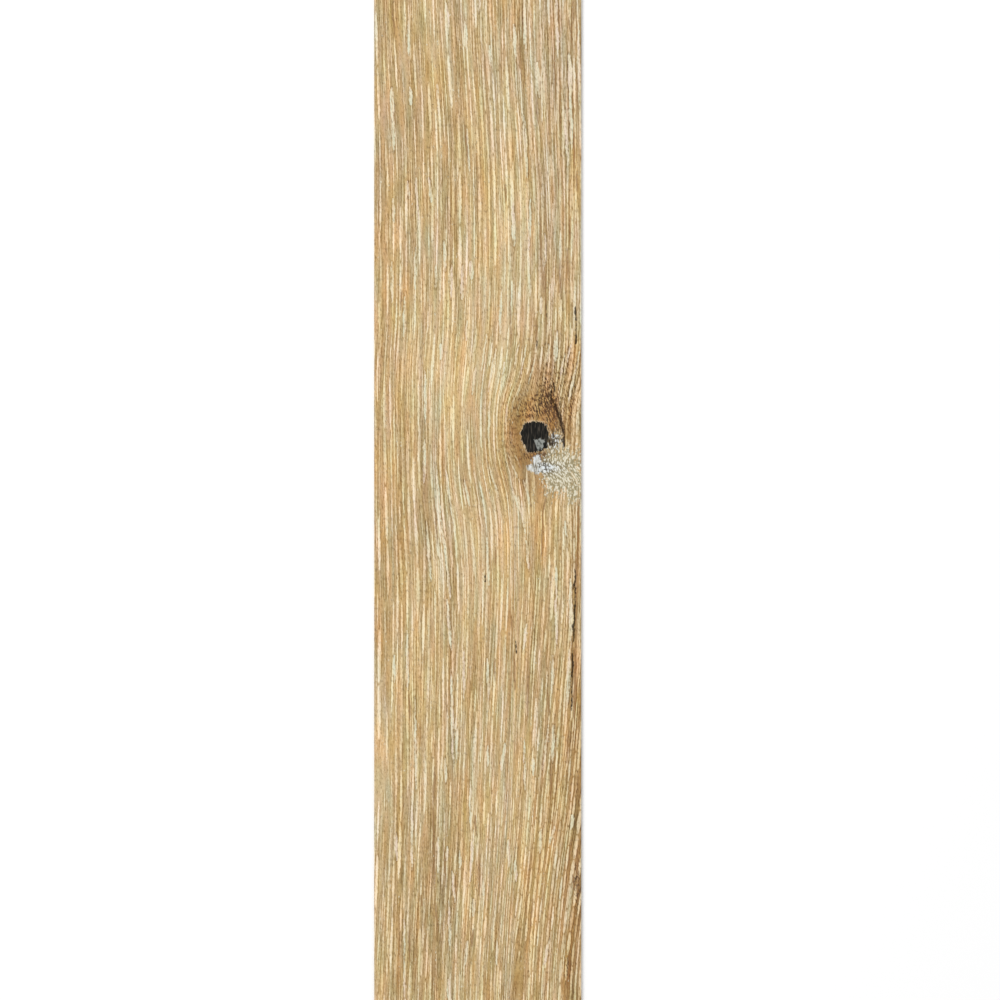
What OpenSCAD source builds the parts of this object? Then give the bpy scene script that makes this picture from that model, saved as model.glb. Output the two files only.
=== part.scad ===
// Glue-down vinyl floor plank with square-cut edges and a printed oak face.
// It lies on its back: width along X, length along Y, wear face up.
// The origin is the centre of the underside. All lengths are in millimetres.

/* [Plank] */
// Width of the plank, across the grain
plank_w = 184.15; // [100:0.05:320]
// Length of the plank, along the grain
plank_l = 1219.2; // [600:0.1:1830]
// Thickness of the plank, from its back to its wear face
plank_t = 2.5; // [2:0.1:6]

/* [Bevelled rim] */
// How far the bevel runs in from each edge of the wear face
bevel_run = 0.8; // [0.2:0.1:2]
// How far the bevel drops from the wear face at each edge
bevel_drop = 0.35; // [0.1:0.05:1]

/* [Hidden] */

// How far each extrusion runs past the faces that the other one cuts
overrun = 1;

// Section of a slab that is span wide, with both top corners bevelled
module bevelled_section(span) {
    half_span = span / 2;
    polygon([
        [-half_span, 0],
        [half_span, 0],
        [half_span, plank_t - bevel_drop],
        [half_span - bevel_run, plank_t],
        [-half_span + bevel_run, plank_t],
        [-half_span, plank_t - bevel_drop],
    ]);
}

// Slab with its bevels along the two long edges
module long_slab() {
    rotate([90, 0, 0])
        linear_extrude(height = plank_l + 2 * overrun, center = true)
            bevelled_section(plank_w);
}

// Slab with its bevels along the two ends
module cross_slab() {
    rotate([90, 0, 90])
        linear_extrude(height = plank_w + 2 * overrun, center = true)
            bevelled_section(plank_l);
}

// The whole plank, one solid, bevelled along all four edges of its wear face
module plank() {
    color("burlywood")
        intersection() {
            long_slab();
            cross_slab();
        }
}

plank();
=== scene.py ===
"""Looks of a vinyl floor plank: printed limed oak face with its knot, bevelled rim, cut edges and backing.

The face is one mesh. Its vertices carry the lie of the grain and the marks, regions and
knot. One set of functions turns these into oak twice: in geometry nodes, which press it into the
mesh, and in the shader, which prints it.
"""

import math

import bpy
import numpy as np
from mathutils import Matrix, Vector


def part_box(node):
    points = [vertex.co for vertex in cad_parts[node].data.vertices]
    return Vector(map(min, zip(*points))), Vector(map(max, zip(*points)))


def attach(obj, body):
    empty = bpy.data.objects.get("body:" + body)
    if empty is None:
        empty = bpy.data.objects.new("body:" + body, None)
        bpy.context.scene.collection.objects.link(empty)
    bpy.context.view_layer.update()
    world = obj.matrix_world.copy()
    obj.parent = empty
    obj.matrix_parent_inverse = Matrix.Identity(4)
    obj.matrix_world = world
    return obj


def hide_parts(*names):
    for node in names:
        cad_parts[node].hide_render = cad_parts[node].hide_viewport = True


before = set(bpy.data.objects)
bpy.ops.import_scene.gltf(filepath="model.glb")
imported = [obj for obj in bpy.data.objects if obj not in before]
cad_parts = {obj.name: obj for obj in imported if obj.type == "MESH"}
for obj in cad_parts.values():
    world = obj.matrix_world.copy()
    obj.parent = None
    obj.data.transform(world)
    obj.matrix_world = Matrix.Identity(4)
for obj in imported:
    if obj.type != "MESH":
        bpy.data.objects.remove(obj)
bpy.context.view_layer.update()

MM = 0.001

# The photo's size, and where the plank's long edges cross it, in pixels
PHOTO_SIZE = 1000
PHOTO_LEFT_X = 374.2
PHOTO_RIGHT_X = 581.3
PHOTO_MIDDLE_X = (PHOTO_LEFT_X + PHOTO_RIGHT_X) / 2

# The plank's sizes from the frame, in millimetres
plank_low, plank_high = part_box("plank")
PLANK_W = (plank_high.x - plank_low.x) / MM
PLANK_L = (plank_high.y - plank_low.y) / MM
PLANK_T = (plank_high.z - plank_low.z) / MM
PX = PLANK_W / (PHOTO_RIGHT_X - PHOTO_LEFT_X)


def face_x(photo_x):
    """Place across the plank, in millimetres from its middle, of a photo column."""
    return (photo_x - PHOTO_MIDDLE_X) * PX


def face_y(photo_y):
    """Place along the plank, in millimetres from its middle, of a photo row."""
    return (PHOTO_SIZE / 2 - photo_y) * PX


def photo_x(x_mm):
    """Photo column of a place across the plank."""
    return x_mm / PX + PHOTO_MIDDLE_X


def photo_y(y_mm):
    """Photo row of a place along the plank."""
    return PHOTO_SIZE / 2 - y_mm / PX


# Lie of the grain

# Sways of the grain: photo x and y, reach x and y, and how far it leans right for each pixel down
SWAYS = [
    (430, 75, 150, 85, 0.06), (528, 170, 40, 50, 0.05), (490, 285, 70, 30, -0.03),
    (480, 343, 160, 24, -0.08), (490, 378, 44, 24, -0.1), (520, 392, 20, 22, -0.33),
    (574, 386, 22, 24, -0.24), (492, 488, 42, 34, 0.17), (512, 465, 16, 22, 0.18),
    (440, 530, 50, 45, 0.09), (550, 484, 14, 20, -0.3), (574, 460, 14, 20, -0.1),
    (560, 640, 90, 60, -0.07), (570, 735, 90, 60, -0.055), (500, 900, 190, 120, -0.055),
    (620, 860, 90, 100, -0.13),
]

# Grain lines are traced this far past the plank's long edges, this far apart, in pixels
TRACE_MARGIN = 60.0
TRACE_GAP = 1.0

# Right of these columns and below these rows, the lines of this row are spaced evenly again, as
# those that pass the knot don't go on under it
EVEN_ROW = 540
EVEN_FROM_ROWS = (462, 486)
EVEN_FROM_COLUMNS = (506, 522)


def grain_lean(x, y):
    """Pixels that the grain moves right for each pixel down, at photo places x on row y."""
    lean = np.zeros_like(x)
    for centre_x, centre_y, reach_x, reach_y, strength in SWAYS:
        away_x = (x - centre_x) / reach_x
        away_y = (y - centre_y) / reach_y
        lean += strength * np.exp(-away_x**2 - away_y**2)
    return lean


def trace_grain():
    """Rows of the photo frame, and on each the places of the grain lines that start evenly spaced."""
    top = photo_y(PLANK_L / 2)
    bottom = photo_y(-PLANK_L / 2)
    starts = np.arange(PHOTO_LEFT_X - TRACE_MARGIN, PHOTO_RIGHT_X + TRACE_MARGIN, TRACE_GAP)
    rows = np.arange(math.floor(top), math.ceil(bottom) + 1)
    places = [starts]
    for row in rows[:-1]:
        places.append(places[-1] + grain_lean(places[-1], row))
    return rows, starts, np.array(places)


def smooth_rise(values, low, high):
    """0 up to low, 1 from high, and a smooth rise between."""
    share = np.clip((values - low) / (high - low), 0, 1)
    return share * share * (3 - 2 * share)


def grain_across(column, row):
    """Across-the-grain coordinate, in millimetres, of photo places given as rows by columns."""
    rows, starts, places = trace_grain()
    even_places = places[EVEN_ROW - rows[0]]
    across = np.empty_like(column)
    for i in range(len(column)):
        position = row[i, 0] - rows[0]
        upper = int(np.clip(position, 0, len(rows) - 2))
        share = position - upper
        line = places[upper] * (1 - share) + places[upper + 1] * share
        across[i] = np.interp(column[i], line, starts)
    evened = smooth_rise(row, *EVEN_FROM_ROWS) * smooth_rise(column, *EVEN_FROM_COLUMNS)
    across += (np.interp(across, starts, even_places) - across) * evened
    return (across - PHOTO_MIDDLE_X) * PX


# Regions of the face

# Soft regions: photo x and y, reach x and y in pixels, and how much of it there is.
# Lighter or darker wood
SHADES = [
    (465, 375, 60, 45, 0.1), (480, 280, 55, 60, 0.06), (515, 215, 18, 60, 0.05),
    (492, 532, 48, 40, 0.11), (390, 730, 22, 110, 0.06), (436, 890, 22, 110, -0.09),
    (560, 930, 60, 130, -0.06), (578, 860, 14, 190, -0.1), (548, 358, 36, 26, -0.07),
    (573, 408, 10, 30, -0.13), (504, 436, 7, 34, -0.06), (498, 415, 14, 40, 0.12),
    (440, 385, 50, 45, 0.05), (430, 775, 45, 60, 0.05), (485, 800, 40, 80, 0.03),
    (576, 685, 11, 70, -0.13), (486, 588, 15, 50, 0.1), (494, 322, 22, 42, 0.06),
    (505, 120, 12, 70, 0.05), (424, 320, 14, 50, 0.04), (385, 592, 10, 36, 0.05),
    (571, 368, 10, 20, -0.06), (524, 474, 12, 16, -0.05), (464, 425, 16, 30, 0.04),
    (568, 985, 12, 30, -0.05), (548, 610, 26, 90, -0.03), (558, 170, 24, 170, -0.04),
    (566, 372, 14, 34, -0.09), (477, 458, 14, 36, 0.07), (419, 958, 14, 40, -0.08),
    (388, 24, 14, 40, -0.06), (506, 790, 14, 40, 0.05),
]
# More or less lime in the grain
LIMES = [
    (558, 150, 26, 180, 0.5), (550, 890, 50, 130, 0.2), (500, 60, 60, 70, 0.1),
    (415, 120, 45, 130, -0.4), (475, 410, 45, 60, -0.2), (390, 640, 14, 60, -0.3),
    (526, 432, 15, 40, -1.3), (548, 402, 14, 28, -0.9), (496, 410, 12, 44, 0.3), (573, 402, 8, 40, 1.1),
    (548, 610, 26, 90, 0.15), (384, 760, 12, 160, -0.15), (519, 970, 9, 28, -1.3),
]
# Shorter strands
SHORTS = [
    (550, 890, 110, 130, 1.0), (570, 700, 30, 120, 0.4), (560, 500, 40, 60, 0.5),
    (500, 360, 60, 50, 0.5), (568, 390, 26, 60, 1.0), (545, 362, 24, 16, 0.6),
]
# Orange wood, or greyer where the amount is below 0
ORANGES = [
    (558, 880, 38, 120, 0.5), (500, 560, 30, 50, 0.2), (571, 412, 6, 12, 0.8), (568.5, 430, 4, 18, 0.9),
    (530, 412, 14, 8, 0.25), (507, 436, 9, 34, 0.45), (516, 392, 14, 14, 0.2), (461, 62, 4, 22, 0.7),
    (528, 150, 4, 30, 0.9), (405, 118, 5, 18, 0.6), (574, 155, 3, 24, 1.2), (570, 230, 3, 18, 1.1),
    (406, 278, 5, 22, 0.7), (401, 300, 2, 12, 0.9), (561, 120, 3, 26, 0.6), (576, 352, 4, 14, 0.9),
    (379, 640, 5, 16, 0.9), (566, 745, 9, 46, 0.5), (568, 960, 5, 26, 0.9), (570, 640, 4, 24, 0.3),
    (542, 540, 4, 30, 0.9), (577, 545, 3, 34, 1.2), (576, 690, 3, 50, 1.0), (508, 640, 10, 34, 0.6),
    (525, 530, 24, 30, 0.3), (384, 450, 13, 190, 0.3), (388, 210, 12, 120, 0.25),
    (390, 550, 12, 90, 0.2), (415, 532, 18, 44, 0.35), (478, 410, 16, 170, 0.3),
    (492, 430, 12, 36, 0.2), (508, 590, 14, 90, 0.25), (419, 125, 14, 45, -0.5),
    (506, 40, 16, 50, -0.4), (548, 60, 45, 100, -0.7), (558, 230, 24, 110, -0.5),
    (453, 700, 6, 70, -0.4), (441, 870, 9, 80, -0.5),
]
# Pinker wood, or greener where the amount is below 0
PINKS = [
    (380, 330, 16, 330, 0.15), (390, 110, 14, 90, 0.15), (508, 220, 13, 140, -0.15),
    (500, 410, 40, 50, -0.3), (444, 880, 9, 120, -0.3),
]
# Brown wood
BROWNS = [
    (516, 432, 10, 28, 1.00), (526, 460, 9, 10, 0.85), (533, 408, 16, 14, 1.15),
    (548, 404, 12, 22, 1.00), (543, 374, 16, 16, 0.45), (553, 424, 8, 10, 0.85), (541, 455, 12, 5, 0.9),
    (534, 482, 10, 14, 0.6), (567, 436, 4, 14, 0.5),
]
# Near-black wood
CHARS = [
    (549, 386, 7, 12, 0.38), (550, 401, 9, 12, 0.62), (553, 413, 8, 11, 0.85), (558, 426, 4, 9, 0.45),
    (543, 402, 9, 14, 0.35), (530, 411, 10, 7, 0.5), (538, 455, 12, 4.0, 1.4), (551, 441, 4.5, 7, 1.5),
    (577, 885, 3, 22, 0.5), (568, 966, 2.5, 12, 0.45),
]
# Lime speckle beside the knot
SPECKLES = [
    (566, 466, 24, 18, 1.3), (555, 484, 13, 14, 1.0), (555, 441, 8, 10, 1.3), (546, 466, 7, 9, 0.9),
    (574, 494, 10, 14, 0.7),
]
# Whiter lime in the speckle
WHITES = [
    (555, 440, 9, 10, 1.1), (548, 468, 14, 6, 1.0), (536, 464, 9, 10, 1.0),
]
# Short dark and pale flecks
FLECKS = [
    (548, 398, 14, 26, 1.6), (528, 408, 14, 14, 1.0), (572, 398, 10, 36, 0.9), (512, 386, 16, 14, 0.4),
    (552, 360, 20, 16, 0.6), (511, 434, 11, 36, 1.0), (530, 406, 16, 12, 0.6),
]
# Fibres that curl
CURLS = [
    (548, 404, 12, 20, 0.6), (556, 468, 26, 24, 0.6), (518, 436, 14, 30, 0.3), (512, 386, 14, 12, 0.5),
    (548, 364, 22, 14, 0.4), (572, 410, 12, 36, 0.4),
]


def region(column, row, table):
    """Sum of the soft regions at photo places."""
    total = np.zeros_like(column)
    for centre_x, centre_y, reach_x, reach_y, amount in table:
        away_x = (column - centre_x) / reach_x
        away_y = (row - centre_y) / reach_y
        total += amount * np.exp(-away_x**2 - away_y**2)
    return total


# Marks of the face

# Marks: photo x and y of the top and of the foot, and the widest half width, all in pixels.
# Limed streaks
PALE_MARKS = [
    (408, 20, 408.5, 56, 1.4), (446, 0, 448.5, 36, 1.6), (465, 20, 466, 50, 1.8),
    (489, 44, 490.5, 68, 1.3), (479, -6, 479, 14, 1.4), (514, 22, 515.5, 60, 1.6),
    (524, 0, 525.5, 52, 1.5), (556, -8, 557, 22, 1.3), (557, 26, 558, 52, 1.5),
    (578.5, 20, 579, 110, 1.4), (391.5, 86, 392.5, 120, 2.0), (392.5, 108, 394, 156, 1.2),
    (410, 86, 411, 108, 1.8), (437, 82, 439, 118, 1.2), (523.5, 112, 527.5, 178, 1.6),
    (537, 60, 539.5, 100, 1.8), (569, 52, 571, 100, 2.4), (570, 90, 572, 150, 1.8),
    (565, 108, 568, 168, 1.2), (466.5, 126, 469.5, 174, 1.2), (429, 176, 431.5, 204, 1.4),
    (416, 176, 417, 206, 1.2), (408, 180, 409, 202, 1.2), (393, 196, 394, 224, 1.5),
    (417, 200, 418.5, 232, 1.4), (392, 258, 392, 304, 1.3), (415.5, 246, 415, 292, 1.3),
    (405, 294, 404, 340, 1.3), (436, 262, 436, 292, 1.4), (444, 238, 445.5, 272, 1.6),
    (451, 262, 451.5, 302, 1.3), (463, 262, 462, 302, 1.6), (471, 258, 471.5, 282, 2.3),
    (501.5, 288, 499.5, 342, 1.3), (513, 202, 514, 248, 1.7), (530.5, 196, 529, 252, 1.3),
    (530, 272, 530, 298, 1.2), (545, 232, 546, 262, 1.3), (541, 296, 541, 317, 1.5),
    (557, 330, 555, 364, 2.1), (549, 342, 547, 364, 0.9), (543.6, 413, 548.6, 427, 0.8),
    (548.8, 424, 551.2, 436, 0.8), (507.0, 402, 505.4, 428, 0.9), (510.4, 426, 512.2, 448, 0.8),
    (512.6, 450, 520.4, 468, 0.9), (514.5, 394, 511.5, 412, 0.7), (520.0, 384, 517.5, 400, 0.8),
    (467, 318, 466, 342, 1.2), (441, 342, 441, 362, 1.7), (475.5, 366, 472.5, 396, 1.3),
    (487, 332, 481, 374, 0.9), (496, 346, 488, 392, 0.9), (505, 360, 500, 392, 1.0),
    (520, 338, 514, 368, 0.8), (527, 342, 520, 380, 0.8), (536, 356, 528, 386, 0.8),
    (580, 350, 572, 388, 0.9), (575, 370, 568, 404, 0.9), (565, 352, 560, 378, 0.9),
    (571, 342, 567, 364, 0.9), (425, 368, 425, 424, 1.2), (425, 438, 424, 484, 1.5),
    (436, 464, 440.5, 522, 1.2), (440.5, 516, 446.5, 562, 1.2), (437, 536, 440, 562, 1.4),
    (446, 556, 450.5, 602, 1.2), (426, 518, 431.5, 584, 1.3), (445.5, 468, 452.5, 518, 1.3),
    (464, 478, 470, 508, 1.2), (486, 458, 500.5, 502, 1.0), (490, 398, 488, 444, 1.0),
    (507, 452, 520, 484, 0.8), (523, 478, 531.5, 508, 1.2), (511, 484, 519, 510, 1.0),
    (517, 494, 525.5, 534, 0.9), (487, 534, 489, 588, 1.2), (526, 538, 529, 572, 1.4),
    (565, 520, 567.5, 540, 1.3), (556, 562, 556.5, 604, 1.2), (570.2, 576, 571.0, 646, 1.8),
    (415, 696, 416, 792, 1.2), (407, 630, 408, 692, 1.4), (447, 598, 451.5, 652, 1.4),
    (464, 648, 464, 702, 1.4), (451, 668, 453, 764, 1.3), (456, 716, 457, 764, 1.5),
    (487, 656, 489, 702, 1.4), (488, 744, 487.5, 768, 1.2), (394, 654, 395, 684, 1.3),
    (505, 742, 501, 772, 1.8), (527, 622, 523, 652, 1.2), (553, 652, 552, 694, 1.4),
    (555, 598, 557, 646, 1.3), (569.8, 646, 567.4, 706, 1.8), (554, 722, 552, 764, 1.4),
    (549, 722, 542.5, 772, 1.2), (524, 738, 525, 792, 1.2), (533, 756, 534, 778, 1.4),
    (445, 756, 446, 784, 1.4), (470.5, 778, 471, 832, 1.4), (412, 798, 412, 874, 1.3),
    (396, 832, 397, 864, 1.2), (438, 836, 439, 884, 1.4), (447, 846, 447, 862, 1.4),
    (460, 850, 460, 870, 1.3), (473.5, 828, 470, 884, 1.4), (474.5, 896, 473, 918, 1.6),
    (483, 878, 484, 898, 1.3), (452, 868, 455, 904, 1.2), (449, 898, 450, 952, 1.2),
    (404, 918, 405, 1010, 1.2), (448, 976, 450, 1010, 1.9), (468, 938, 465, 966, 1.4),
    (541, 828, 540, 854, 1.3), (508, 838, 509, 868, 1.6), (515, 858, 516, 882, 1.4),
    (497, 938, 497, 968, 1.2), (573, 812, 571, 830, 1.9), (550, 936, 544, 966, 1.3),
    (555, 824, 550, 844, 1.2),
]
# Brown lines
BROWN_MARKS = [
    (391, 0, 395.5, 40, 0.9), (573, -4, 572.5, 32, 0.9), (568.5, 16, 570, 32, 0.9),
    (464, 116, 468.5, 166, 1.0), (536, 92, 538, 128, 0.9), (554.5, 36, 555.5, 112, 0.8),
    (571.5, 22, 572, 52, 0.8), (577, 62, 578, 125, 0.8), (559.5, 94, 560.5, 138, 0.9),
    (574, 130, 574.5, 170, 1.0), (576.5, 170, 577, 194, 1.0), (558, 166, 558.5, 192, 0.8),
    (569.5, 214, 570, 246, 1.0), (567.5, 246, 567.5, 280, 0.9), (559.5, 256, 560, 296, 1.0),
    (543, 268, 544, 292, 0.8), (505, 182, 506, 204, 1.0), (540, 212, 541, 264, 0.9),
    (545, 262, 546.5, 348, 0.9), (510, 278, 511, 348, 0.9), (536, 318, 537, 352, 1.1),
    (551.5, 328, 552.5, 384, 0.9), (401, 288, 401, 312, 1.0), (548.5, 486, 542.6, 514, 0.9),
    (543.2, 502, 541.3, 562, 1.0), (579.5, 496, 577.5, 552, 1.3), (577.5, 546, 574.5, 602, 1.1),
    (577.0, 576, 576.0, 650, 0.9), (575.6, 640, 574.2, 728, 1.4), (434, 496, 438, 548, 1.1),
    (495, 544, 496, 568, 0.9), (514, 648, 515, 692, 1.1), (510, 606, 512, 632, 0.9),
    (529, 658, 527, 722, 0.9), (409, 692, 410, 722, 1.2), (494, 656, 495, 684, 0.9),
    (547, 688, 550, 718, 1.1), (569, 722, 567, 766, 0.9), (551, 762, 551, 802, 1.1),
    (435, 764, 433, 806, 1.3), (433, 800, 434.5, 892, 1.4), (421, 892, 422, 908, 1.1),
    (436, 902, 437.5, 938, 1.0), (443, 836, 446.5, 892, 0.9), (473, 928, 472, 948, 1.1),
    (573, 872, 574, 892, 1.1), (577, 848, 578, 906, 1.4), (569, 950, 567, 992, 1.3),
    (409, 928, 410, 968, 0.9), (479, 856, 480, 902, 0.9), (475, 812, 476, 838, 1.1),
    (533, 898, 530, 934, 0.9), (571, 838, 568, 872, 1.1),
]
# Cracks
CRACK_MARKS = [
    (575, 306, 575.6, 316, 1.1), (575.8, 314, 576.4, 336, 0.4), (576.2, 333, 575.4, 346, 1.1),
    (574.8, 566, 575.4, 604, 0.7), (573.4, 582, 573.0, 592, 0.7), (575.2, 598, 574.4, 624, 0.9),
    (574.6, 612, 573.2, 644, 0.9), (572.0, 622, 571.8, 646, 0.3), (572.5, 648, 572.3, 684, 0.9),
    (572.3, 676, 571.5, 714, 0.6), (516.2, 640, 516, 655, 0.7), (485.5, 571, 485.2, 585, 0.6),
    (553.6, 381, 554.8, 392, 0.9), (551.5, 388, 549.8, 398, 1.0), (549.8, 394, 554.6, 405, 1.2),
    (554.4, 400, 557.4, 413, 1.0), (552.4, 403, 556.6, 412, 0.8), (556.6, 408, 559.4, 419, 1.0),
    (558.6, 415, 562.0, 428, 1.1), (561.0, 424, 564.4, 437, 1.1), (564.2, 433, 564.6, 449, 1.0),
    (559.8, 411, 561.8, 424, 0.7), (562.6, 421, 565.2, 431, 0.7), (560.4, 428, 562.6, 445, 0.6),
    (543.6, 394, 546.2, 409, 0.7), (546.8, 395, 549.8, 402, 0.6), (552.4, 428, 553.4, 439, 0.8),
    (549.4, 439, 550.6, 447, 1.1), (552.8, 440, 552.2, 446, 0.8), (432, 101.5, 432.8, 105, 1.0),
    (546, 392, 551, 404, 0.5), (536.4, 338, 536.6, 348, 0.7), (546.4, 302, 546.6, 318, 0.6),
]

# Marks waver about their straight line: how far, in pixels, and how many radians for each pixel down
WAVERS = [(0.30, 0.31), (0.16, 0.87)]
# Turn of the waver from each mark to the next, in radians
WAVER_TURN = 1.9

# How bluntly marks end: from 0 for square ends to 1 for long points
TAPER = 0.65

# Depths inside marks and outlines are kept within this many pixels
DEPTH_LIMIT = 3.0


def mark_depth(column, row, marks):
    """How deep inside the nearest mark each photo place lies, in pixels, and negative outside."""
    deepest = np.full_like(column, -DEPTH_LIMIT)
    for number, (top_x, top_y, foot_x, foot_y, half_w) in enumerate(marks):
        share = (row - top_y) / (foot_y - top_y)
        along = (share > 0) & (share < 1)
        middle = top_x + (foot_x - top_x) * share
        for size, turn in WAVERS:
            middle = middle + size * np.sin(turn * row + WAVER_TURN * number)
        taper = (4 * np.where(along, share * (1 - share), 0)) ** TAPER
        depth = np.where(along, taper * half_w - np.abs(column - middle), -DEPTH_LIMIT)
        deepest = np.maximum(deepest, depth)
    return deepest


# Knot

# Outlines, as photo places: the black core, the grey blob on it, and the white patch under it
CORE = [
    (524.7, 423.0), (532.0, 421.2), (542.5, 422.6), (547.0, 426.0), (548.6, 433.5), (548.6, 440.0),
    (547.0, 447.6), (542.5, 451.0), (535.6, 452.0), (530.0, 453.0), (526.5, 451.0), (525.0, 446.0),
    (521.2, 440.5), (521.2, 431.7),
]
BLOB = [
    (534.5, 439.5), (540.0, 438.5), (544.5, 440.0), (543.5, 445.0), (541.0, 450.0), (537.5, 450.5),
    (536.0, 445.0),
]
WHITE_PATCH = [
    (533.5, 457.0), (539.5, 455.0), (541.0, 462.5), (551.0, 464.5), (552.5, 469.0), (545.0, 472.0),
    (538.0, 474.0), (531.0, 471.5), (524.5, 467.0), (531.5, 464.5),
]


def outline_depth(column, row, outline):
    """How deep inside an outline each photo place lies, in pixels, and negative outside."""
    nearest = np.full_like(column, DEPTH_LIMIT)
    inside = np.zeros(column.shape, dtype=bool)
    for (x1, y1), (x2, y2) in zip(outline, outline[1:] + outline[:1]):
        run = x2 - x1
        rise = y2 - y1
        share = np.clip(((column - x1) * run + (row - y1) * rise) / (run**2 + rise**2), 0, 1)
        nearest = np.minimum(nearest, np.hypot(column - x1 - share * run, row - y1 - share * rise))
        crosses = (y1 > row) != (y2 > row)
        inside ^= crosses & (rise * (column - x1) * np.sign(rise) < (row - y1) * run * np.sign(rise))
    return np.where(inside, nearest, -nearest)


# Plank mesh

# Bevel of the wear face: how far it runs in from each edge, and how far it drops there
BEVEL_RUN = 0.8
BEVEL_DROP = 0.35
# Section of the bevel, as shares of its run from the face's edge and of its drop
BEVEL_SHARES = [(0.12, 0.05), (0.62, 0.55), (1.0, 1.0)]

# Mesh density of the face
FACE_COLUMNS = 246
FACE_ROWS = 384
# Rows lie closer together round the knot, and within the stretch that the photo shows: how much
# closer, about which photo row, and over what reach in pixels
KNOT_ROW_DENSITY = 4.0
KNOT_ROW = 436.0
KNOT_ROW_REACH = 52.0
PHOTO_ROW_DENSITY = 1.2
# The rows are placed by a sum over this many times as many places
ROW_FINENESS = 4

# Edges of the mesh that turn by more than this many degrees stay sharp
SHARP_ANGLE = 35.0

# The relief fades out over this width beside the bevel, in millimetres
RELIEF_FADE = 2.0

# Layout of the bake map: gap between islands, and the columns that each side takes, as shares
MAP_GAP = 0.012
MAP_FACE_SHARE = 0.66
MAP_BACK_SHARE = 0.24
MAP_EDGE_SHARE = 0.014
MAP_END_SHARE = 0.012

# Material slots of the mesh
FACE_SLOT = 0
EDGE_SLOT = 1
BACK_SLOT = 2


def row_places():
    """Places of the face's rows along the plank, closest together round the knot."""
    half = PLANK_L / 2 - BEVEL_RUN
    fine = np.linspace(-half, half, ROW_FINENESS * FACE_ROWS)
    row = photo_y(fine)
    density = 1 + KNOT_ROW_DENSITY * np.exp(-(((row - KNOT_ROW) / KNOT_ROW_REACH) ** 2))
    density += np.where((row > 0) & (row < PHOTO_SIZE), PHOTO_ROW_DENSITY, 0)
    steps = (density[1:] + density[:-1]) / 2
    count = np.concatenate([[0], np.cumsum(steps)])
    return np.interp(np.linspace(0, count[-1], FACE_ROWS), count, fine)


def face_grid():
    """x, y and z of the wear face with its bevels, as rows by columns, in millimetres."""
    half_w = PLANK_W / 2
    flat_x = np.linspace(-half_w + BEVEL_RUN, half_w - BEVEL_RUN, FACE_COLUMNS)
    flat_y = row_places()
    outward = np.array([BEVEL_RUN * share for share, _ in BEVEL_SHARES])
    drop = [BEVEL_DROP * share for _, share in BEVEL_SHARES]
    x = np.concatenate([flat_x[0] - outward[::-1], flat_x, flat_x[-1] + outward])
    y = np.concatenate([flat_y[0] - outward[::-1], flat_y, flat_y[-1] + outward])
    beside_x = np.concatenate([drop[::-1], np.zeros(FACE_COLUMNS), drop])
    beside_y = np.concatenate([drop[::-1], np.zeros(FACE_ROWS), drop])
    grid_x, grid_y = np.meshgrid(x, y)
    lowered = np.maximum(beside_x[None, :], beside_y[:, None])
    return grid_x, grid_y, PLANK_T - lowered


def relief_fade(x, y):
    """1 where the face takes the full relief, down to 0 at the bevels."""
    to_side = PLANK_W / 2 - BEVEL_RUN - np.abs(x)
    to_end = PLANK_L / 2 - BEVEL_RUN - np.abs(y)
    return smooth_rise(np.minimum(to_side, to_end), 0, RELIEF_FADE)


def unit(values, low, high):
    """values as shares of the way from low to high."""
    return (values - low) / (high - low)


def bake_islands():
    """Boxes (left, bottom, right, top) of the bake map for the face, back, two edges and two ends."""
    top = 1 - 3 * MAP_GAP - 2 * MAP_END_SHARE
    left = MAP_GAP
    boxes = {}
    for name, share in (
        ("face", MAP_FACE_SHARE),
        ("back", MAP_BACK_SHARE),
        ("left", MAP_EDGE_SHARE),
        ("right", MAP_EDGE_SHARE),
    ):
        boxes[name] = (left, MAP_GAP, left + share, top)
        left += share + MAP_GAP
    face_right = MAP_GAP + MAP_FACE_SHARE
    for name, base in (("near", top + MAP_GAP), ("far", top + 2 * MAP_GAP + MAP_END_SHARE)):
        boxes[name] = (MAP_GAP, base, face_right, base + MAP_END_SHARE)
    return boxes


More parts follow.
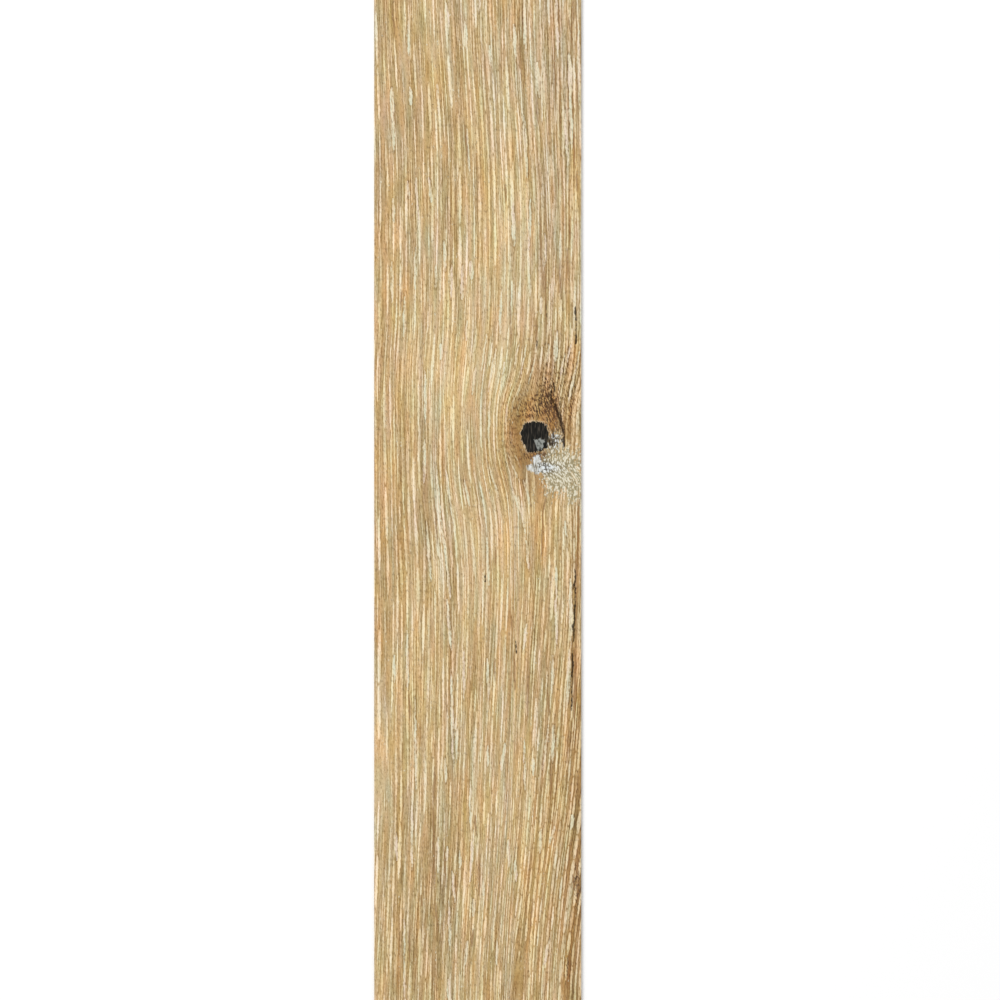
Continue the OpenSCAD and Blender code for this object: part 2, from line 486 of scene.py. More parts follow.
class PlankMesh:
    """Gathers the plank's vertices and faces, with a material slot and bake map places for each face."""

    def __init__(self):
        self.grid_x, self.grid_y, self.grid_z = face_grid()
        self.rows, self.columns = self.grid_x.shape
        self.faces = []
        self.slots = []
        self.map_places = []
        self.islands = bake_islands()
        self.vertices = self.make_vertices()

    def make_vertices(self):
        """The face's grid, then the underside's left and right border, row by row."""
        face = np.stack([self.grid_x, self.grid_y, self.grid_z], axis=-1).reshape(-1, 3)
        y = self.grid_y[:, 0]
        low = np.zeros_like(y)
        left = np.stack([np.full_like(y, -PLANK_W / 2), y, low], axis=-1)
        right = np.stack([np.full_like(y, PLANK_W / 2), y, low], axis=-1)
        self.first_left = len(face)
        self.first_right = len(face) + len(y)
        return np.concatenate([face, left, right])

    def add(self, corners, slot, island, axes):
        """Adds faces given as rows of vertex numbers, mapped by the two given axes into an island."""
        corners = np.asarray(corners)
        left, bottom, right, top = self.islands[island]
        half = {"x": PLANK_W / 2, "y": PLANK_L / 2}
        place = self.vertices[corners]
        shares = []
        for axis in axes:
            if axis == "z":
                shares.append(place[..., 2] / PLANK_T)
            else:
                shares.append(unit(place[..., "xy".index(axis)], -half[axis], half[axis]))
        u = left + shares[0] * (right - left)
        v = bottom + shares[1] * (top - bottom)
        self.map_places.append(np.stack([u, v], axis=-1).reshape(-1, 2))
        self.faces.extend(corners.tolist())
        self.slots.extend([slot] * len(corners))

    def add_face(self):
        """The wear face and its bevels."""
        number = np.arange(self.rows * self.columns).reshape(self.rows, self.columns)
        quads = np.stack([number[:-1, :-1], number[:-1, 1:], number[1:, 1:], number[1:, :-1]], axis=-1)
        self.add(quads.reshape(-1, 4), FACE_SLOT, "face", "xy")

    def add_long_edges(self):
        """The cut edges along both sides."""
        row = np.arange(self.rows - 1)
        top_left = row * self.columns
        top_right = top_left + self.columns - 1
        low_left = self.first_left + row
        low_right = self.first_right + row
        step = self.columns
        left = np.stack([low_left + 1, low_left, top_left, top_left + step], axis=-1)
        right = np.stack([low_right, low_right + 1, top_right + step, top_right], axis=-1)
        self.add(left, EDGE_SLOT, "left", "zy")
        self.add(right, EDGE_SLOT, "right", "zy")

    def add_end(self, row, island):
        """The cut edge at one end, as triangles that fan out from its two lower corners."""
        top = row * self.columns + np.arange(self.columns)
        left = self.first_left + row
        right = self.first_right + row
        middle = self.columns // 2
        triangles = []
        for j in range(self.columns - 1):
            corner = left if j < middle else right
            triangles.append([corner, top[j + 1], top[j]])
        triangles.append([left, right, top[middle]])
        if row == 0:
            self.add(triangles, EDGE_SLOT, island, "xz")
        else:
            self.add([face[::-1] for face in triangles], EDGE_SLOT, island, "xz")

    def add_back(self):
        """The underside, as one strip for each pair of rows."""
        row = np.arange(self.rows - 1)
        left = self.first_left + row
        right = self.first_right + row
        self.add(np.stack([left, left + 1, right + 1, right], axis=-1), BACK_SLOT, "back", "xy")

    def build(self):
        """The finished mesh, with its bake map and what its vertices carry."""
        self.add_face()
        self.add_long_edges()
        self.add_end(0, "near")
        self.add_end(self.rows - 1, "far")
        self.add_back()
        mesh = bpy.data.meshes.new("plank_face")
        mesh.from_pydata((self.vertices * MM).tolist(), [], self.faces)
        layer = mesh.uv_layers.new(name="OFBake")
        layer.data.foreach_set("uv", np.concatenate(self.map_places).ravel())
        mesh.polygons.foreach_set("material_index", self.slots)
        smooth = [slot == FACE_SLOT for slot in self.slots]
        mesh.polygons.foreach_set("use_smooth", smooth)
        mesh.set_sharp_from_angle(angle=math.radians(SHARP_ANGLE))
        self.add_attributes(mesh)
        mesh.validate()
        return mesh

    def add_attributes(self, mesh):
        """Stores three fields at a time, which both node trees read back."""
        x, y = self.vertices[:, 0], self.vertices[:, 1]
        column, row = photo_x(x), photo_y(y)
        across = x.copy()
        across[: self.first_left] = grain_across(photo_x(self.grid_x), photo_y(self.grid_y)).ravel()
        fade = relief_fade(x, y)
        fade[self.first_left :] = 0
        triples = {
            "face": (x, y, fade),
            "grain": (across, region(column, row, CURLS), region(column, row, SHORTS)),
            "lime": [region(column, row, table) for table in (LIMES, WHITES, SPECKLES)],
            "wood": [region(column, row, table) for table in (SHADES, PINKS, FLECKS)],
            "stain": [region(column, row, table) for table in (ORANGES, BROWNS, CHARS)],
            "marks": [mark_depth(column, row, marks) for marks in (PALE_MARKS, BROWN_MARKS, CRACK_MARKS)],
            "knot": [outline_depth(column, row, outline) for outline in (CORE, BLOB, WHITE_PATCH)],
        }
        for name, values in triples.items():
            attribute = mesh.attributes.new(name, "FLOAT_VECTOR", "POINT")
            attribute.data.foreach_set("vector", np.stack(values, axis=-1).ravel())


# Node trees

# Offset between the noises, so that no two are alike
SEED_STRIDE = 37.7


class Field:
    """A number that varies over the surface: a node's output, with arithmetic that adds math nodes."""

    def __init__(self, graph, socket):
        self.graph = graph
        self.socket = socket

    def __add__(self, other):
        return self.graph.math("ADD", self, other)

    def __sub__(self, other):
        return self.graph.math("SUBTRACT", self, other)

    def __rsub__(self, other):
        return self.graph.math("SUBTRACT", other, self)

    def __mul__(self, other):
        return self.graph.math("MULTIPLY", self, other)

    def __abs__(self):
        return self.graph.math("ABSOLUTE", self)

    def whole(self):
        """The whole number below."""
        return self.graph.math("FLOOR", self)

    def power(self, exponent):
        """To the power of exponent."""
        return self.graph.math("POWER", self, exponent)

    def above(self, other):
        """The larger of the two, at each place."""
        return self.graph.math("MAXIMUM", self, other)

    def below(self, other):
        """The smaller of the two, at each place."""
        return self.graph.math("MINIMUM", self, other)

    def step(self, low, high):
        """0 up to low, 1 from high, and a smooth rise between."""
        node = self.graph.node("ShaderNodeMapRange", interpolation_type="SMOOTHSTEP")
        for socket, value in zip(node.inputs, (self, low, high, 0.0, 1.0)):
            self.graph.feed(socket, value)
        return Field(self.graph, node.outputs[0])


class Graph:
    """Adds nodes to a shader tree or a geometry tree, by the same calls in both."""

    def __init__(self, tree):
        self.tree = tree
        self.in_geometry = tree.bl_idname == "GeometryNodeTree"

    def node(self, kind, **settings):
        """A new node with these settings."""
        node = self.tree.nodes.new(kind)
        for name, value in settings.items():
            setattr(node, name, value)
        return node

    def feed(self, socket, value):
        """Links a field or socket to an input, or sets the input to a plain value."""
        if isinstance(value, Field):
            value = value.socket
        if isinstance(value, bpy.types.NodeSocket):
            self.tree.links.new(value, socket)
        else:
            socket.default_value = value

    def math(self, operation, *values):
        """The field that a math operation gives."""
        node = self.node("ShaderNodeMath", operation=operation)
        for socket, value in zip(node.inputs, values):
            self.feed(socket, value)
        return Field(self, node.outputs[0])

    def attribute(self, name):
        """The three numbers of a vector attribute of the mesh."""
        if self.in_geometry:
            node = self.node("GeometryNodeInputNamedAttribute", data_type="FLOAT_VECTOR")
            node.inputs["Name"].default_value = name
            vector = node.outputs["Attribute"]
        else:
            vector = self.node("ShaderNodeAttribute", attribute_name=name).outputs["Vector"]
        split = self.node("ShaderNodeSeparateXYZ")
        self.feed(split.inputs[0], vector)
        return [Field(self, socket) for socket in split.outputs]

    def combine(self, x, y, z=0.0):
        """A vector socket of three fields or numbers."""
        node = self.node("ShaderNodeCombineXYZ")
        for socket, value in zip(node.inputs, (x, y, z)):
            self.feed(socket, value)
        return node.outputs[0]

    def noise(self, x, y, size_x, size_y, seed, detail=0.0, roughness=0.5):
        """Smooth noise about 0, within -1 to 1, whose patches measure size_x by size_y millimetres."""
        place = self.combine(x * (1 / size_x) + seed * SEED_STRIDE, y * (1 / size_y) - seed * SEED_STRIDE)
        node = self.node("ShaderNodeTexNoise", noise_dimensions="2D")
        self.feed(node.inputs["Vector"], place)
        self.feed(node.inputs["Scale"], 1.0)
        self.feed(node.inputs["Detail"], detail)
        self.feed(node.inputs["Roughness"], roughness)
        return Field(self, node.outputs[0]) * 2.0 - 1.0

    def crumbs(self, x, y, size_x, size_y, seed):
        """Round crumbs packed side by side: how near to a crumb's middle, and a chance for each crumb."""
        place = self.combine(x * (1 / size_x) + seed * SEED_STRIDE, y * (1 / size_y))
        node = self.node("ShaderNodeTexVoronoi", voronoi_dimensions="2D")
        self.feed(node.inputs["Vector"], place)
        self.feed(node.inputs["Scale"], 1.0)
        split = self.node("ShaderNodeSeparateXYZ")
        self.feed(split.inputs[0], node.outputs["Color"])
        return 1.0 - Field(self, node.outputs["Distance"]), Field(self, split.outputs[0])

    def chances(self, column, row, seed):
        """Three numbers from 0 to 1 that are drawn anew for each whole column and row."""
        node = self.node("ShaderNodeTexWhiteNoise", noise_dimensions="3D")
        self.feed(node.inputs["Vector"], self.combine(column, row, float(seed)))
        split = self.node("ShaderNodeSeparateXYZ")
        self.feed(split.inputs[0], node.outputs["Color"])
        return [Field(self, socket) for socket in split.outputs]


# Oak

# Noises: which places across they go by, how wide and long their patches are in millimetres, their
# seed, detail and roughness. First those that wave the fibres, then the others
WAVES = {
    "slow_wave": ("across", 9.0, 110.0, 2, 0.0, 0.5),
    "quick_wave": ("across", 2.6, 9.0, 3, 2.0, 0.6),
    "wild": ("across", 4.0, 5.0, 4, 1.0, 0.5),
}
NOISES = {
    "fibre": ("fibre_x", 1.9, 24.0, 5, 1.0, 0.5),
    "grit": ("fibre_x", 1.7, 3.0, 6, 1.0, 0.6),
    "band": ("fibre_x", 10.0, 170.0, 7, 0.0, 0.5),
    "mottle": ("x", 1.9, 2.4, 9, 1.0, 0.5),
    "teeth": ("x", 1.2, 4.5, 11, 1.0, 0.5),
    "core_line": ("x", 0.9, 8.0, 12, 1.0, 0.5),
    "spot": ("slanted_x", 1.2, 3.8, 13, 2.0, 0.65),
    "white_line": ("x", 1.7, 9.0, 14, 1.0, 0.5),
    "warmth": ("fibre_x", 6.5, 50.0, 20, 1.0, 0.5),
    "blush": ("fibre_x", 5.5, 38.0, 21, 0.0, 0.5),
    "broad": ("fibre_x", 24.0, 160.0, 22, 0.0, 0.5),
    "lime_drift": ("fibre_x", 4.0, 30.0, 23, 0.0, 0.5),
}
# Spots move across by this share of their place along
SPOT_SLANT = 0.25
# Spots turn from dark to pale flecks between these values of their noise
SPOT_EDGE = (-0.4, 0.4)
# Crumbs of lime: width and length in millimetres, and their seed
CRUMBS = (1.7, 2.7, 10)

# Layers of limed strands: gap between their lines, length of a strand and its widest half width, all
# in millimetres, what is added to the lime there, also for each unit of short, and their seed
LONG_STRANDS = (4.3, 50.0, 1.15, 0.30, -1.1, 60)
THIN_STRANDS = (3.5, 32.0, 0.80, 0.30, -0.5, 64)
DASH_STRANDS = (4.4, 22.0, 1.25, -0.70, 1.6, 68)
# Strength of the thin strands beside the others
THIN_STRENGTH = 0.6

# Lines of strands sway over this length in millimetres, with patches of this many gaps, by this many
SWAY_LENGTH = 260.0
SWAY_PATCH = 3
SWAY_GAPS = 0.5
# Strands start up to this many lengths apart from line to line, and lie off it by this share of the gap
START_SPREAD = 7.0
OFF_SPREAD = 0.3
# Strands' sizes spread over this share of the widest, so that some are cut off at it
SIZE_SPREAD = 1.3
# How bluntly strands end: from 0 for square ends to 1 for long points
STRAND_TAPER = 0.45
# Ragged edge of the strands, in millimetres
STRAND_RAGGED = 0.18
# Strands rise from nothing to full strength between these depths in millimetres, and their lines of
# half width between these. Each strand's strength starts from the least and spreads by chance
STRAND_EDGE = (-0.45, 0.65)
STRAND_HALF = (0.1, 0.6)
STRENGTH_LEAST = 0.4
STRENGTH_SPREAD = 0.5
# Seams reach this far past a strand's edge in millimetres, and rise between these depths in them,
# these half widths of the strand and these shares of its widest half width
SEAM_REACH = 0.85
SEAM_EDGE = (-0.10, 0.80)
SEAM_HALF = (0.1, 0.5)
SEAM_TAPER = (0.4, 0.9)

# Sums of fields: what each starts from, and what is added for each unit of a field
SUMS = {
    # Places across and heights, in millimetres
    "fibre_x": (0.0, {"across": 1.0, "slow_wave": 1.0, "quick_wave": 0.45, "curled": 1.2}),
    "relief": (-0.04, {
        "seam": -0.05, "crack": -0.12, "brown_mark": -0.05, "pale_mark": 0.02, "strand": 0.02,
    }),
    # Tone of the grain, and places in the other runs of colours
    "tone": (0.465, {
        "fibre": 0.125, "grit": 0.10, "band": 0.12, "shade": 1.0, "strand": 0.57, "seam": -0.28,
        "pale_skirt": -0.12, "flecked": 0.22,
    }),
    "lime_tone": (0.45, {"lime_drift": 1.0}),
    "crumb_tone": (-0.74, {"crumb_near": 1.32, "crumb_chance": 0.84, "grit": 0.7, "char": -0.25}),
    "white_tone": (0.62, {"white_line": 0.9}),
    "core_tone": (0.5, {"core_line": 0.8}),
    "blob_tone": (0.55, {"mottle": 0.6}),
    # Shares that red and blue are multiplied by
    "red": (1.004, {"warm": 0.12, "broad": 0.05, "rosy": 0.11, "grey": -0.05}),
    "blue": (0.985, {"warm": -0.27, "broad": -0.13, "rosy": 0.03, "grey": 0.2}),
    # Amounts of lime in the pale marks, and of the stains
    "limed": (0.75, {"fibre": 0.9, "grit": 0.4}),
    "patchy": (1.1, {"fibre": 0.8, "mottle": 0.5}),
    # Gloss of the face
    "roughness": (0.5, {"seam": 0.1, "strand": 0.08}),
    "specular": (0.35, {"dark": -0.25}),
}
# Edges: sums as above, of depths in pixels or of amounts, and between which of their values they rise
EDGES = {
    "pale_mark": (0.0, {"pale_depth": 1.0, "grit": 0.55, "fibre": 0.40}, -0.6, 0.6),
    "pale_rim": (1.3, {"pale_depth": 1.0, "grit": 0.55, "fibre": 0.40}, -0.3, 0.7),
    "brown_mark": (0.0, {"brown_depth": 1.0, "grit": 0.55, "fibre": 0.40}, -0.5, 0.5),
    "crack": (0.1, {"crack_depth": 1.0, "grit": 0.66, "fibre": 0.48, "mottle": 0.6}, -0.4, 0.5),
    "core": (0.0, {"core_depth": 1.0, "teeth": 2.2}, -0.5, 0.5),
    "core_rim": (1.0, {"core_depth": 1.0, "teeth": 2.2, "mottle": 1.0}, -0.3, 0.5),
    "blob": (0.0, {"blob_depth": 1.0, "mottle": 2.0}, -0.8, 0.8),
    "white_patch": (0.2, {"white_depth": 1.0, "mottle": 2.0, "fibre": 1.5}, -1.0, 1.2),
    "crumbs": (-0.5, {"speckle": 1.0, "mottle": 0.8, "fibre": 0.8}, -0.1, 0.6),
    "burnt": (-0.2, {"char": 1.1, "charred_fleck": -0.5, "fleck": -0.6}, 0.0, 0.8),
}
# The warm drift loses this share on strands, and their hue moves the pink one by this much
WARM_LOSS = 0.5
HUE_BLUSH = 0.28


class Oak:
    """The printed and pressed oak, as fields that both node trees can use."""

    def __init__(self, graph):
        self.graph = graph
        self.x, self.y, self.fade = graph.attribute("face")
        self.across, self.curl, self.short = graph.attribute("grain")
        self.lime, self.white, self.speckle = graph.attribute("lime")
        self.orange, self.brown, self.char = graph.attribute("stain")
        self.pale_depth, self.brown_depth, self.crack_depth = graph.attribute("marks")
        self.core_depth, self.blob_depth, self.white_depth = graph.attribute("knot")
        self.shade, self.pink, self.flecks = graph.attribute("wood")
        self.wave_fibres()
        self.make_noises(NOISES)
        self.make_flecks()
        self.make_strands()
        self.make_edges()
        self.make_drifts()

    def make_noises(self, table):
        """A field for each noise of the table."""
        for name, (place, *settings) in table.items():
            setattr(self, name, self.graph.noise(getattr(self, place), self.y, *settings))

    def add_up(self, base, weights):
        """The base, plus each named field times its weight."""
        total = base
        for name, weight in weights.items():
            total = getattr(self, name) * weight + total
        return total

    def sum(self, name):
        """A sum of the table of sums."""
        return self.add_up(*SUMS[name])

    def wave_fibres(self):
        """Across-the-grain places with the small waves of the fibres, wild where they curl."""
        self.make_noises(WAVES)
        self.curled = self.wild * self.curl
        self.fibre_x = self.sum("fibre_x")
        self.slanted_x = self.x + self.y * SPOT_SLANT

    def make_flecks(self):
        """Flecks from -1 for dark to 1 for pale, and the crumbs of the lime."""
        self.fleck = self.spot.step(*SPOT_EDGE) * 2.0 - 1.0
        self.flecked = self.fleck * self.flecks
        self.charred_fleck = self.fleck * self.char
        self.crumb_near, self.crumb_chance = self.graph.crumbs(self.fibre_x, self.y, *CRUMBS)

    def strands(self, gap, length, half_w, lime, short_lime, seed):
        """Limed spindles in lines side by side: their strength, their hue and the dark seam beside each."""
        sway = self.graph.noise(self.fibre_x, self.y, SWAY_PATCH * gap, SWAY_LENGTH, seed)
        place = self.fibre_x * (1 / gap) + sway * SWAY_GAPS
        column = place.whole()
        off = (place - column - 0.5) * gap
        start, shift, _ = self.graph.chances(column, 0.0, seed)
        run = self.y * (1 / length) + start * START_SPREAD
        segment = run.whole()
        share = run - segment
        size, strength, hue = self.graph.chances(column, segment, seed + 1)
        taper = (share * (1 - share) * 4.0).power(STRAND_TAPER)
        amount = size * SIZE_SPREAD + self.lime + self.short * short_lime + lime
        half = amount.below(1.0) * taper * half_w
        away = abs(off + (shift - 0.5) * gap * OFF_SPREAD)
        depth = half + self.grit * STRAND_RAGGED - away
        pale = depth.step(*STRAND_EDGE) * half.step(*STRAND_HALF)
        beside = (depth + SEAM_REACH).step(*SEAM_EDGE) * (1 - pale)
        seam = beside * half.step(*SEAM_HALF) * taper.step(*SEAM_TAPER)
        return pale * (strength * STRENGTH_SPREAD + STRENGTH_LEAST), hue * 2.0 - 1.0, seam

    def make_strands(self):
        """Long, thin and short limed strands, laid over each other."""
        long_pale, long_hue, long_seam = self.strands(*LONG_STRANDS)
        thin_pale, thin_hue, thin_seam = self.strands(*THIN_STRANDS)
        dash_pale, dash_hue, dash_seam = self.strands(*DASH_STRANDS)
        self.strand = long_pale.above(thin_pale * THIN_STRENGTH).above(dash_pale)
        self.seam = long_seam.above(thin_seam).above(dash_seam)
        self.hue = long_pale * long_hue + thin_pale * thin_hue + dash_pale * dash_hue

    def make_edges(self):
        """The marks, the knot's parts and what surrounds them, each from 0 to 1."""
        for name, (base, weights, low, high) in EDGES.items():
            setattr(self, name, self.add_up(base, weights).step(low, high))
        self.pale_skirt = self.pale_rim * (1 - self.pale_mark)
        self.rim = (self.core_rim - self.core - self.char).above(0.0)
        self.dark = (self.core + self.crack).below(1.0)

    def make_drifts(self):
        """Warm, pink and grey drifts of the colour."""
        self.warm = self.warmth * (1 - self.strand * WARM_LOSS)
        self.rosy = self.blush + self.hue * HUE_BLUSH + self.pink
        self.grey = (self.orange * -1.0).above(0.0)


# Materials

def srgb(red, green, blue):
    """Linear colour of an sRGB colour given in steps of 255."""
    linear = []
    for step in (red, green, blue):
        share = step / 255
        linear.append(share / 12.92 if share <= 0.04045 else ((share + 0.055) / 1.055) ** 2.4)
    return (*linear, 1.0)


# Runs of colours: the place of each, from 0 to 1, and its sRGB steps.
# The oak from its darkest line to its palest streak
OAK_TONES = [
    (0.04, 104, 74, 34), (0.17, 141, 108, 60), (0.28, 164, 133, 83), (0.4, 186, 158, 110),
    (0.5, 199, 172, 127), (0.6, 213, 188, 145), (0.74, 229, 208, 167), (0.85, 237, 219, 182),
    (0.96, 244, 229, 197),
]

# Tints that the stains multiply by at their full amount
ORANGE_TINT = (0.98, 0.82, 0.60, 1.0)
BROWN_TINT = (0.67, 0.49, 0.30, 1.0)
CHAR_TINT = (0.27, 0.21, 0.15, 1.0)

# Colours of the limed marks, and colour of the brown ones
LIME_TONES = [(0.1, 222, 220, 192), (0.5, 236, 223, 192), (0.9, 232, 212, 190)]
BROWN_MARK_COLOUR = srgb(146, 108, 64)
CRACK_COLOUR = srgb(40, 24, 10)

# Colours of the lime speckle beside the knot, from its gaps to its crumbs, and of its whiter lime
SPECKLE_TONES = [(0.2, 148, 137, 104), (0.5, 192, 184, 155), (0.8, 228, 223, 202)]
WHITE_TONES = [(0.2, 72, 66, 56), (0.5, 186, 186, 176), (0.8, 226, 232, 234)]
# Colours of the knot's core, and of the grey blob on it
CORE_TONES = [(0.4, 18, 17, 14), (0.6, 34, 31, 26), (0.85, 68, 62, 54)]
BLOB_TONES = [(0.35, 84, 86, 80), (0.6, 146, 148, 142)]


# A mix node's sockets for colours
MIX_LOW = 6
MIX_HIGH = 7
MIX_RESULT = 2


def mix(graph, amount, low, high, blend="MIX"):
    """Colour socket between two colours."""
    node = graph.node("ShaderNodeMix", data_type="RGBA", blend_type=blend)
    graph.feed(node.inputs["Factor"], amount)
    graph.feed(node.inputs[MIX_LOW], low)
    graph.feed(node.inputs[MIX_HIGH], high)
    return node.outputs[MIX_RESULT]


def ramp(graph, amount, stops):
    """Colour socket that runs through the given stops."""
    stops = [(place, srgb(*colour)) for place, *colour in stops]
    node = graph.node("ShaderNodeValToRGB")
    elements = node.color_ramp.elements
    elements[0].position, elements[0].color = stops[0]
    elements[1].position, elements[1].color = stops[-1]
    for place, colour in stops[1:-1]:
        elements.new(place).color = colour
    graph.feed(node.inputs[0], amount)
    return node.outputs[0]


# How much of each colour goes over what lies under it
BROWN_MARK_SHARE = 0.75
BURNT_SHARE = 0.9
PATCH_SHARE = 0.9
CRUMB_SHARE = 0.9
CRACK_SHARE = 0.92
RIM_SHARE = 0.45


def lime_colour(oak):
    """Colour socket of the lime, from greenish through cream to pinkish."""
    return ramp(oak.graph, oak.sum("lime_tone"), LIME_TONES)


def tint(oak, colour):
    """The colour with warm and cool, pink and green drifts."""
    graph = oak.graph
    split = graph.node("ShaderNodeSeparateColor")
    graph.feed(split.inputs[0], colour)
    red, green, blue = [Field(graph, socket) for socket in split.outputs]
    join = graph.node("ShaderNodeCombineColor")
    for socket, value in zip(join.inputs, (red * oak.sum("red"), green, blue * oak.sum("blue"))):
        graph.feed(socket, value)
    return join.outputs[0]


def grain_colour(oak):
    """Colour socket of the grain, with its limed and brown marks."""
    graph = oak.graph
    colour = tint(oak, ramp(graph, oak.sum("tone"), OAK_TONES))
    colour = mix(graph, oak.pale_mark * oak.sum("limed"), colour, lime_colour(oak))
    return mix(graph, oak.brown_mark * BROWN_MARK_SHARE, colour, BROWN_MARK_COLOUR)


def stain(oak, colour):
    """The colour with its orange, brown and burnt wood."""
    graph = oak.graph
    patchy = oak.sum("patchy")
    colour = mix(graph, oak.orange * patchy * (1 - oak.strand), colour, ORANGE_TINT, blend="MULTIPLY")
    colour = mix(graph, oak.brown * patchy, colour, BROWN_TINT, blend="MULTIPLY")
    return mix(graph, oak.burnt * BURNT_SHARE, colour, CHAR_TINT, blend="MULTIPLY")


def lime_patch(oak, colour):
    """The colour with the white patch and the lime speckle beside the knot."""
    graph = oak.graph
    patch = ramp(graph, oak.sum("white_tone"), WHITE_TONES)
    colour = mix(graph, oak.white_patch * PATCH_SHARE, colour, patch)
    crumb = oak.sum("crumb_tone")
    crumb_tone = mix(graph, oak.white, ramp(graph, crumb, SPECKLE_TONES), ramp(graph, crumb, WHITE_TONES))
    return mix(graph, oak.crumbs * CRUMB_SHARE, colour, crumb_tone)


def core_colour(oak):
    """Colour socket of the knot's core: near black, with upright grey lines and a grey blob."""
    graph = oak.graph
    core_tone = ramp(graph, oak.sum("core_tone"), CORE_TONES)
    return mix(graph, oak.blob, core_tone, ramp(graph, oak.sum("blob_tone"), BLOB_TONES))


def oak_colour(oak):
    """Colour socket of the whole print."""
    graph = oak.graph
    colour = lime_patch(oak, stain(oak, grain_colour(oak)))
    colour = mix(graph, oak.crack * CRACK_SHARE, colour, CRACK_COLOUR)
    colour = mix(graph, oak.rim * RIM_SHARE, colour, lime_colour(oak))
    return mix(graph, oak.core, colour, core_colour(oak))


# Heights of the bumps in millimetres: the finest fibres, and the grains of plain vinyl
FIBRE_BUMP = 0.02
GRAIN_BUMP = 0.05

# Plain vinyl: colours at these places of its run, and its gloss
PLAIN_PLACES = (0.2, 0.8)
PLAIN_ROUGHNESS = 0.7
PLAIN_SPECULAR = 0.3

# The plain vinyls: their two tones, size of their grains in millimetres, and seed
CUT_EDGE = ((176, 160, 134), (196, 182, 158), 0.5, 40)
BACKING = ((160, 152, 138), (182, 174, 160), 1.2, 41)


def new_material(name):
    """A new material, its nodes and its shader."""
    material = bpy.data.materials.new(name)
    material.use_nodes = True
    return material, Graph(material.node_tree), material.node_tree.nodes["Principled BSDF"]


def add_bump(graph, shader, height, millimetres):
    """Bump of the shader, this high for each unit of the height field."""
    bump = graph.node("ShaderNodeBump")
    bump.inputs["Distance"].default_value = millimetres * MM
    graph.feed(bump.inputs["Height"], height)
    graph.feed(shader.inputs["Normal"], bump.outputs[0])


def face_material():
    """The printed and pressed wear face."""
    material, graph, shader = new_material("oak_face")
    oak = Oak(graph)
    graph.feed(shader.inputs["Base Color"], oak_colour(oak))
    graph.feed(shader.inputs["Roughness"], oak.sum("roughness"))
    graph.feed(shader.inputs["Specular IOR Level"], oak.sum("specular"))
    add_bump(graph, shader, oak.fibre, FIBRE_BUMP)
    return material


def plain_material(name, low, high, size, seed):
    """Filled vinyl: two near tones in small grains, with a slight bump."""
    material, graph, shader = new_material(name)
    x, y, _ = graph.attribute("face")
    grains = graph.noise(x, y, size, size, seed=seed, detail=2.0)
    stops = [(place, *tone) for place, tone in zip(PLAIN_PLACES, (low, high))]
    graph.feed(shader.inputs["Base Color"], ramp(graph, grains + 0.5, stops))
    shader.inputs["Roughness"].default_value = PLAIN_ROUGHNESS
    shader.inputs["Specular IOR Level"].default_value = PLAIN_SPECULAR
    add_bump(graph, shader, grains, GRAIN_BUMP)
    return material


def press_relief(plank):
    """Presses the grain into the mesh by geometry nodes."""
    tree = bpy.data.node_groups.new("press_relief", "GeometryNodeTree")
    tree.interface.new_socket("Geometry", in_out="INPUT", socket_type="NodeSocketGeometry")
    tree.interface.new_socket("Geometry", in_out="OUTPUT", socket_type="NodeSocketGeometry")
    graph = Graph(tree)
    start = graph.node("NodeGroupInput")
    end = graph.node("NodeGroupOutput")
    move = graph.node("GeometryNodeSetPosition")
    oak = Oak(graph)
    lift = oak.sum("relief") * oak.fade * MM
    graph.feed(move.inputs["Geometry"], start.outputs[0])
    graph.feed(move.inputs["Offset"], graph.combine(0.0, 0.0, lift))
    graph.feed(end.inputs[0], move.outputs[0])
    modifier = plank.modifiers.new("press_relief", "NODES")
    modifier.node_group = tree


# Stage

# The camera's lens and sensor, in millimetres: long, as the photo shows no side of the plank
LENS = 200.0
SENSOR = 36.0
# How far the camera sees, in metres
CLIP_END = 100.0

# Light from the world
WORLD_LIGHT = 0.70
# Brightness of the floor as a light sees it
FLOOR_GREY = 0.8

# The lamp: place and size in metres, and power in watts
LAMP_PLACE = (-4.2, 2.4, 5.0)
LAMP_W = 5.2
LAMP_H = 3.6
LAMP_POWER = 262.0

# The floor, in metres: how far it reaches from its middle, no further than the lamp shows it as
# white, and how far it lies below the plank's underside
FLOOR_REACH = 0.8
FLOOR_GAP = 0.0002


def add_object(name, data):
    """A new object of the scene."""
    thing = bpy.data.objects.new(name, data)
    bpy.context.scene.collection.objects.link(thing)
    return thing


def add_camera():
    """Looks straight down, with the plank as far left of the middle as in the photo."""
    data = bpy.data.cameras.new("camera")
    data.lens = LENS
    data.sensor_width = SENSOR
    camera = add_object("camera", data)
    field = PHOTO_SIZE * PX * MM
    height = field * LENS / SENSOR + plank_high.z
    camera.location = (face_x(PHOTO_SIZE / 2) * MM, 0.0, height)
    data.clip_end = CLIP_END
    bpy.context.scene.camera = camera


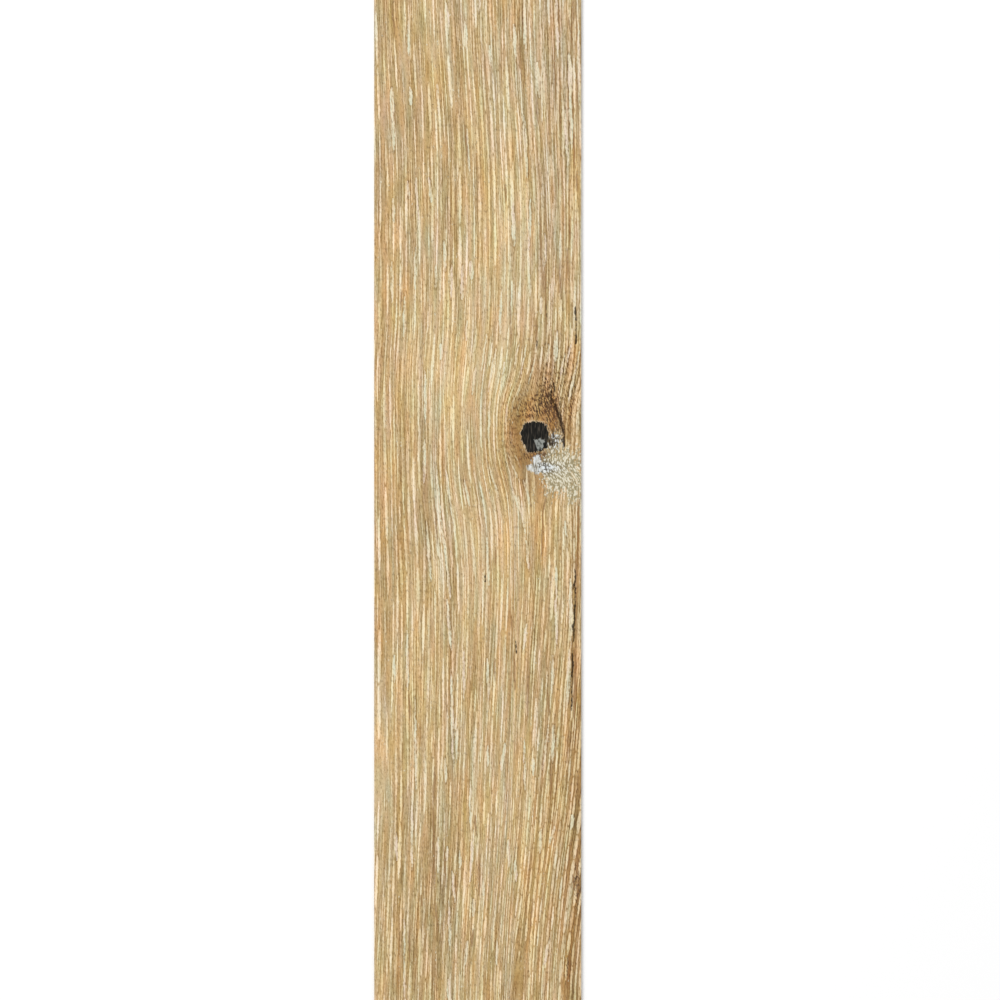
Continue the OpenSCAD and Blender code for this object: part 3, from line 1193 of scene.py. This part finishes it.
def seen_directly(graph):
    """1 for what the camera, a reflection or a transmission sees, and 0 for light."""
    path = graph.node("ShaderNodeLightPath")
    camera = Field(graph, path.outputs["Is Camera Ray"])
    glossy = Field(graph, path.outputs["Is Glossy Ray"])
    through = Field(graph, path.outputs["Is Transmission Ray"])
    return camera.above(glossy).above(through)


def add_world():
    """Soft even light, which shows as plain white."""
    world = bpy.data.worlds.new("studio")
    bpy.context.scene.world = world
    world.use_nodes = True
    graph = Graph(world.node_tree)
    background = world.node_tree.nodes["Background"]
    background.inputs["Color"].default_value = (1, 1, 1, 1)
    seen = seen_directly(graph)
    graph.feed(background.inputs["Strength"], seen * (1 - WORLD_LIGHT) + WORLD_LIGHT)


def add_lamp():
    """One broad lamp, high at the upper left."""
    data = bpy.data.lights.new("softbox", "AREA")
    data.shape = "RECTANGLE"
    data.size = LAMP_W
    data.size_y = LAMP_H
    data.energy = LAMP_POWER
    lamp = add_object("softbox", data)
    lamp.location = LAMP_PLACE
    direction = -lamp.location.normalized()
    lamp.rotation_euler = direction.to_track_quat("-Z", "Y").to_euler()


def add_floor():
    """A level white floor under the plank."""
    mesh = bpy.data.meshes.new("floor")
    turns = [(-1, -1), (1, -1), (1, 1), (-1, 1)]
    corners = [(x * FLOOR_REACH, y * FLOOR_REACH, -FLOOR_GAP) for x, y in turns]
    mesh.from_pydata(corners, [], [range(4)])
    floor = add_object("floor", mesh)
    material, graph, shader = new_material("floor")
    seen = seen_directly(graph)
    grey = (FLOOR_GREY, FLOOR_GREY, FLOOR_GREY, 1)
    graph.feed(shader.inputs["Base Color"], mix(graph, seen, grey, (1, 1, 1, 1)))
    shader.inputs["Roughness"].default_value = 1.0
    shader.inputs["Specular IOR Level"].default_value = 0.0
    mesh.materials.append(material)


def add_plank():
    """The plank's one piece, in place of its CAD node."""
    mesh = PlankMesh().build()
    plank = add_object("oak_plank", mesh)
    mesh.materials.append(face_material())
    mesh.materials.append(plain_material("cut_edge", *CUT_EDGE))
    mesh.materials.append(plain_material("backing", *BACKING))
    press_relief(plank)
    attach(plank, "root")
    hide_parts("plank")


add_plank()
add_camera()
add_world()
add_lamp()
add_floor()
bpy.context.scene.view_settings.view_transform = "Standard"
